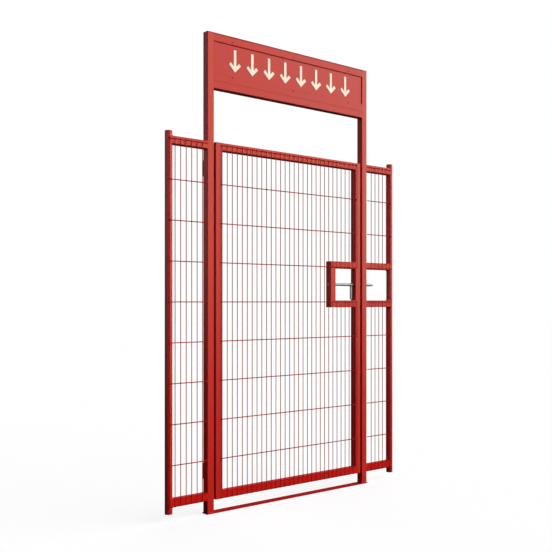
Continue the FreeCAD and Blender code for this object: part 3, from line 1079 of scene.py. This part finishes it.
# %% [markdown]
# ## Sign board
# The board is a plate set back between two rails, with its foot behind a flat bar. A face sheet
# covers it: a rounded rectangle carried forwards, a little smaller at its front for the broken edge.
# On it sits a row of plain arrows that point down to the doorway, cut from sheet metal, enamelled
# cream and glued on. An arrow is an outline of nine points, carried forwards in the same way. Blind
# rivets hold the board, one row in the flat bar and one in the top rail.

# %% Face sheet of the board
FACE_THICK = 0.0035
FACE_PLAY = 0.0004               # gap to the posts, the rail and the bar
FACE_EDGE = 0.0004
FACE_CORNER = 0.0012

board_low, board_high = corners_of("sign_plate")
bar_high = corners_of("sign_foot_bar")[1]
face_low = np.array([board_low[0], bar_high[2]]) + FACE_PLAY
face_high = np.array([board_high[0], board_high[2]]) - FACE_PLAY
face_middle, face_half = (face_low + face_high) / 2, (face_high - face_low) / 2


def face_ring(depth, inset):
    """Rounded rectangle of the sheet's outline, made smaller by the inset, at one depth."""
    ring = rounded_section(*(face_half - inset), FACE_CORNER - inset, FLAT_ENDS)
    x, z = (face_middle + ring).T
    return points(x, depth, z)


face_front = board_low[1] - FACE_THICK
face_rings = np.stack([face_ring(board_low[1], 0), face_ring(face_front + FACE_EDGE, 0),
                       face_ring(face_front, FACE_EDGE)])
hand_over(lay_mesh("sign_face_sheet", face_rings[None]), "frame", "sign_face", sign_coat)
print("face sheet: %.3f by %.3f m" % tuple(2 * face_half))

# %% Outline of an arrow
ARROW_HEIGHT = 0.116
ARROW_WIDTH = 0.076
ARROW_STROKE = 0.0165


def arrow_outline():
    """Right half of a stroke arrow that points down, and its mirror image, as (x, z)."""
    foot = -ARROW_HEIGHT / 2
    slant = ARROW_STROKE / math.sqrt(2)
    reach = ARROW_WIDTH / 2
    right = np.array([(ARROW_STROKE / 2, ARROW_HEIGHT / 2),
                      (ARROW_STROKE / 2, foot + 2 * slant + ARROW_STROKE / 2),
                      (reach - slant, foot + reach + slant),
                      (reach, foot + reach)])
    return np.concatenate([right, [(0, foot)], right[::-1] * (-1, 1)])


def moved_in(outline, width):
    """Outline moved inwards: each point goes along the sum of its two edges' normals.

    The sum is divided by 1 plus the cosine between them, so that both edges move by the width.
    """
    edge = np.roll(outline, -1, axis=0) - outline
    edge /= np.linalg.norm(edge, axis=1, keepdims=True)
    normal = np.stack([edge[:, 1], -edge[:, 0]], -1)
    before = np.roll(normal, 1, axis=0)
    both = normal + before
    return outline + width * both / (1 + np.sum(normal * before, axis=1, keepdims=True))


outline = arrow_outline()
print("arrow:", len(outline), "points")

# %% Row of arrows
ARROW_COUNT = 8
ARROW_PITCH = 0.113
ARROW_RISE = 0.001               # middle of the sheet to the middle of the row
ARROW_THICK = 0.0016
ARROW_EDGE = 0.0004

rows = np.stack([outline, outline, moved_in(outline, ARROW_EDGE)])
depths = face_front - np.array([0, ARROW_THICK - ARROW_EDGE, ARROW_THICK])
middles = ARROW_PITCH * (np.arange(ARROW_COUNT) - (ARROW_COUNT - 1) / 2)
arrow_rings = points(middles[:, None, None] + rows[..., 0], depths[:, None],
                     face_middle[1] + ARROW_RISE + rows[..., 1])
hand_over(lay_mesh("sign_arrows", arrow_rings), "frame", "sign_face", cream_enamel)
print("arrows:", ARROW_COUNT, "over %.3f m" % (np.ptp(middles) + ARROW_WIDTH))

# %% Blind rivets
RIVET_STEP = 0.4145
RIVET_OVER = 0.014               # board's upper edge to the rivets in the top rail
RIVET_UNDER = 0.0315             # board's lower edge to the rivets in the flat bar
RIVET_POINTS = 20
RIVET_PROFILE = 0.001 * np.array([(4.0, -0.4), (4.0, 0.3), (3.7, 0.8), (2.9, 1.3), (2.0, 1.5),
                                  (1.5, 1.4), (1.3, 0.3)])      # radius and height in millimetres


def rivets(places):
    """Turned heads with a hollow middle, laid over so that they look out of the front."""
    upright = turned(RIVET_PROFILE, (0, 0), RIVET_POINTS)
    forward = points(upright[..., 0], -upright[..., 2], upright[..., 1])
    return places[:, None, None, :] + forward


rail_front = corners_of("portal_top_rail")[0][1]
steps = RIVET_STEP * np.arange(-1, 2)
rivet_heights = [board_high[2] + RIVET_OVER, board_low[2] + RIVET_UNDER]
rivet_places = crossings(steps, rail_front, rivet_heights)
hand_over(lay_mesh("sign_rivets", rivets(rivet_places)), "frame", "sign_face", rivet_coat)
print("rivets:", len(rivet_places))

# %% [markdown]
# ## Bolt, handle and hinge pins
# The bolt is a turned bar with a slightly broken tail and a tapered nose that finds the hole in the
# post. The handle hangs from it: its top is cut to the bolt's round, its lower end is bevelled, and
# a small bead runs round the joint. The pins of the hinges are turned bars with rounded ends.

# %% Bolt
BOLT_NOSE = 0.016
BOLT_NOSE_RADIUS = 0.0045
BOLT_TAIL_EDGE = 0.0008
NOSE_ROUND = 0.0015


def along_x(rings):
    """Lays a shape that was turned about Z along X: its height becomes X."""
    return points(rings[..., 2], rings[..., 1], -rings[..., 0])


bolt_tail, bolt_tip = bolt_low[0], bolt_high[0]
bolt_profile = [(bolt_radius - BOLT_TAIL_EDGE, bolt_tail),
                (bolt_radius, bolt_tail + BOLT_TAIL_EDGE),
                (bolt_radius, bolt_tip - BOLT_NOSE),
                (BOLT_NOSE_RADIUS, bolt_tip - NOSE_ROUND),
                (BOLT_NOSE_RADIUS - NOSE_ROUND, bolt_tip)]
bolt_rings = along_x(turned(bolt_profile, (0, 0))) + bolt_axis_z * Z_AXIS
slide_bolt = lay_mesh("slide_bolt_bar", bolt_rings[None])
hand_over(slide_bolt, "bolt", "zinc_steel", zinc_along_x, "slide_bolt")
print("bolt: %.3f m long, %.1f mm thick" % (bolt_tip - bolt_tail, 2000 * bolt_radius))

# %% Handle
HANDLE_BEVEL = 0.004

handle_low, handle_high = corners_of("bolt_handle")
handle_radius = (handle_high[0] - handle_low[0]) / 2
handle_middle = (handle_low + handle_high) / 2
handle_profile = [(handle_radius - HANDLE_BEVEL, handle_low[2]),
                  (handle_radius, handle_low[2] + HANDLE_BEVEL), (handle_radius, bolt_axis_z)]
handle_rings = turned(handle_profile, handle_middle)
handle_top = handle_rings[-1]
handle_top[:, 2] -= np.sqrt(bolt_radius ** 2 - handle_top[:, 1] ** 2)      # the bolt's round
handle = lay_mesh("bolt_handle_bar", handle_rings[None])
hand_over(handle, "bolt", "zinc_steel", zinc_along_z, "bolt_handle")
print("handle: %.3f m long" % (handle_high[2] - handle_low[2]))

# %% Bead round the handle
COLLAR_LEG = 0.0022
COLLAR_ROWS = 96
COLLAR_POINTS = 6
COLLAR_RIPPLES = 18


def collar_rings():
    """Bead on the curve where two round bars meet: legs go down the handle and out from it.

    The curve lies under the bolt's axis by the root of its radius squared less the depth squared.
    """
    turn = np.linspace(0, 2 * math.pi, COLLAR_ROWS, endpoint=False)
    out = points(np.cos(turn), np.sin(turn), 0.0)
    seam = handle_middle * (1, 1, 0) + handle_radius * out
    seam[:, 2] = bolt_axis_z - np.sqrt(bolt_radius ** 2 - (handle_radius * np.sin(turn)) ** 2)
    size = COLLAR_LEG * (1 + BEAD_SWELL * np.cos(COLLAR_RIPPLES * turn))[:, None, None]
    arc = np.linspace(0, math.pi / 2, COLLAR_POINTS)[None, :, None]
    fan = np.cos(arc) * out[:, None, :] - np.sin(arc) * Z_AXIS
    root = -BEAD_ROOT * (out[:, None, :] - Z_AXIS)
    return seam[:, None, :] + size * np.concatenate([root, fan], axis=1)


handle_weld = lay_mesh("handle_weld", collar_rings()[None], looped=True)
hand_over(handle_weld, "bolt", "zinc_steel", zinc_along_z)
print("handle weld:", COLLAR_RIPPLES, "ripples")

# %% Hinge pins
PIN_ROUND = 0.0018
PIN_POINTS = 40

for node in ("upper_hinge_pin", "lower_hinge_pin"):
    low, high = corners_of(node)
    radius = (high[0] - low[0]) / 2
    rim = radius - PIN_ROUND + PIN_ROUND * np.cos(ARC_STEPS)
    rise = PIN_ROUND * np.sin(ARC_STEPS)
    lower_end = np.stack([rim[::-1], low[2] + PIN_ROUND - rise[::-1]], -1)
    upper_end = np.stack([rim, high[2] - PIN_ROUND + rise], -1)
    rings = turned(np.concatenate([lower_end, upper_end]), (low + high) / 2, PIN_POINTS)
    hand_over(lay_mesh(node + "_bar", rings[None]), "frame", "zinc_steel", zinc_along_z, node)
    print(node, "radius: %.1f mm" % (1000 * radius))

# %% [markdown]
# ## Finishes of the solids
# What is left of the solids, such as the sign board, the tube caps and the hinge flaps, has the
# right shape already. Each takes the finish that its slot in the record names.

# %% Coat the solids
SLOT_FINISH = {"frame_paint": tube_coat, "mesh_paint": wire_coat, "sign_face": sign_coat,
               "zinc_steel": zinc_along_z}
for subpart in frame["record"]["subparts"]:
    solid = frame["nodes"][subpart["node"]]
    solid.data.materials.clear()
    solid.data.materials.append(SLOT_FINISH[subpart["material_slot"]])
print("solids shown:", sum(not solid.hide_render for solid in frame["nodes"].values()))

# %% [markdown]
# ## Box of the solids
# The box of the solids, measured before any piece was added, is printed.

# %% Sizes
print("box of the solids:", list(cad_low), list(cad_high))
